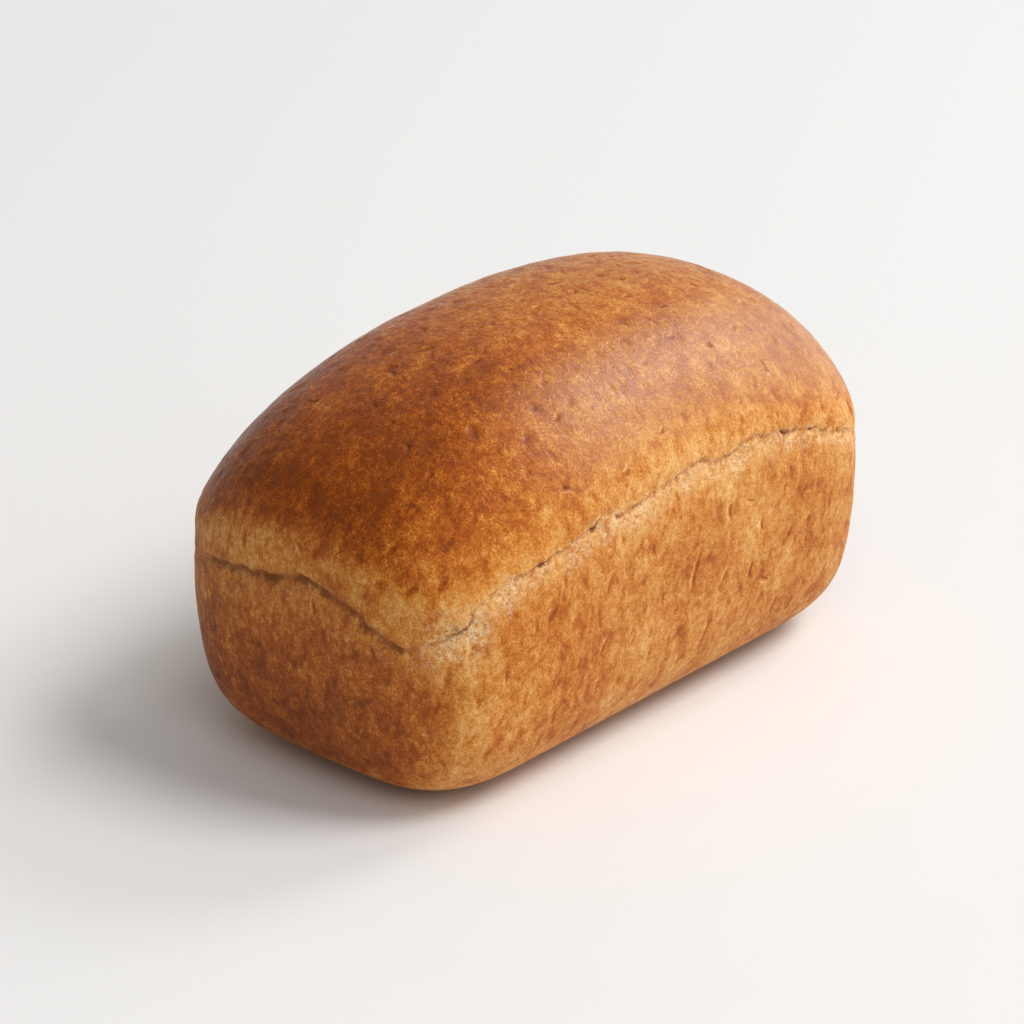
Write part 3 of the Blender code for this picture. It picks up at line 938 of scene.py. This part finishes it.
# Flour caught at the corner between the front and the left end.
FLOUR_CENTRE = (-78.0 * MM, -44.0 * MM, 53.0 * MM)
flour = add(tree, "ShaderNodeVectorMath", (place, FLOUR_CENTRE), operation="DISTANCE").outputs["Value"]
flour = add(tree, "ShaderNodeMapRange", (flour, 13 * MM, 2 * MM), interpolation_type="SMOOTHSTEP")
specks = add(tree, "ShaderNodeTexNoise", (place, 1 / (1.3 * MM), 3.0, 0.75))
specks = add(tree, "ShaderNodeMapRange", (specks, 0.5, 0.62), interpolation_type="SMOOTHSTEP")
flour = add(tree, "ShaderNodeMath", (flour, specks), operation="MULTIPLY")
flour = add(tree, "ShaderNodeMath", (flour, 0.6), operation="MULTIPLY")
colour = add(tree, "ShaderNodeMix", (flour, colour, FLOUR), data_type="RGBA")

# One deep pit in the flour, where a flake of crust broke away, painted only as a dark mark: partly the broken
# crust's colour and partly painted shade.
PIT_CENTRE = (-77.5 * MM, -44.5 * MM, 56.5 * MM)
pit = add(tree, "ShaderNodeVectorMath", (place, PIT_CENTRE), operation="DISTANCE").outputs["Value"]
pit = add(tree, "ShaderNodeMath", (mottle, 12 * MM, pit), operation="MULTIPLY_ADD")
pit = add(tree, "ShaderNodeMapRange", (pit, 2.8 * MM, 0.8 * MM, 0.0, 0.7), interpolation_type="SMOOTHSTEP")
pit = add(tree, "ShaderNodeMath", (pit, broken), operation="MULTIPLY")
colour = add(tree, "ShaderNodeMix", (pit, colour, BROKEN_FLAKE_AND_SHADE), data_type="RGBA")
skin_colour = next(output for output in colour.outputs if output.enabled)
tree.links.new(skin_colour, shader.inputs["Base Color"])
print("finish:", len(tree.nodes), "nodes up to the colour")

# %% Sheen and grain
# The starch glaze on the dome is smoother than the walls, which dried against the tin, and crumb is the
# dullest.
CRUST_IOR = 1.45
SHEEN_TINT = linear("#fff0dc")
rough = add(tree, "ShaderNodeMapRange", (is_dome, 0.0, 1.0, 0.64, 0.35))
rough_mottle = add(tree, "ShaderNodeMapRange", (noises["mottle"], 0.25, 0.75, -0.1, 0.1))
rough = add(tree, "ShaderNodeMath", (rough, rough_mottle), operation="ADD")
rough = add(tree, "ShaderNodeMath", (crumb, 0.3, rough), operation="MULTIPLY_ADD")
tree.links.new(rough.outputs[0], shader.inputs["Roughness"])
shader.inputs["IOR"].default_value = CRUST_IOR
shader.inputs["Specular Tint"].default_value = SHEEN_TINT

# The relief that is finer than the skin's faces, in mm: leathery wrinkles on the dome, the grain of bran
# all over, and the sharp bottoms of the creases. Real bran is partly finer than the 0.55 mm of its noise,
# which is drawn at that size so that it shows.
wrinkles = add(tree, "ShaderNodeTexNoise", (place, 1 / (3.2 * MM), 2.0, 0.55, 2.0, 0.6))
wrinkles = add(tree, "ShaderNodeMath", (wrinkles, 0.5), operation="SUBTRACT")
wrinkles = add(tree, "ShaderNodeMath", (wrinkles,), operation="ABSOLUTE")
RELIEF_TERMS = (
    (wrinkles, 0.5),
    (noises["blotches"], -0.2),
    (noises["mottle"], 0.15),
    (noises["bran"], 0.1),
    (shade_marks["crease"], -0.22),
    (shade_marks["pit"], -0.2),
    (in_gap, -0.35),
)
relief = 0.0
for value, depth in RELIEF_TERMS:
    relief = add(tree, "ShaderNodeMath", (value, depth, relief), operation="MULTIPLY_ADD")
crumb_grain = add(tree, "ShaderNodeTexNoise", (place, 1 / (1.1 * MM), 2.0, 0.6))
crumb_grain = add(tree, "ShaderNodeMath", (crumb_grain, crumb), operation="MULTIPLY")
relief = add(tree, "ShaderNodeMath", (crumb_grain, 0.38, relief), operation="MULTIPLY_ADD")
bump = add(tree, "ShaderNodeBump", {"Strength": 1.0, "Distance": MM, "Height": relief})
tree.links.new(bump.outputs["Normal"], shader.inputs["Normal"])

# %% [markdown]
# ## Baking the loaf
#
# The last tree only gives the skin its finish. The evaluated result is then made a plain mesh, and all the
# trees and guides are taken away.

# %% Finished loaf
finish_sizes = {"Finish": crust}
tree, given = new_tree("finish", finish_sizes)
skin = add(tree, "GeometryNodeSetShadeSmooth", (given["Geometry"],))
skin = add(tree, "GeometryNodeRealizeInstances", (skin,))
skin = add(tree, "GeometryNodeSetMaterial", (skin, None, given["Finish"]))
put_on(loaf, tree, skin, finish_sizes)

evaluated = loaf.evaluated_get(bpy.context.evaluated_depsgraph_get())
mesh = bpy.data.meshes.new_from_object(evaluated)
loaf.modifiers.clear()
loaf.data = mesh
for guide in (form, route, placed):
    bpy.data.objects.remove(guide)
mesh.materials.clear()
mesh.materials.append(crust)
triangles = sum(len(face.vertices) - 2 for face in mesh.polygons)
print("skin:", triangles, "triangles, materials", [m.name for m in mesh.materials])

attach(loaf, "root")
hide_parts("loaf")
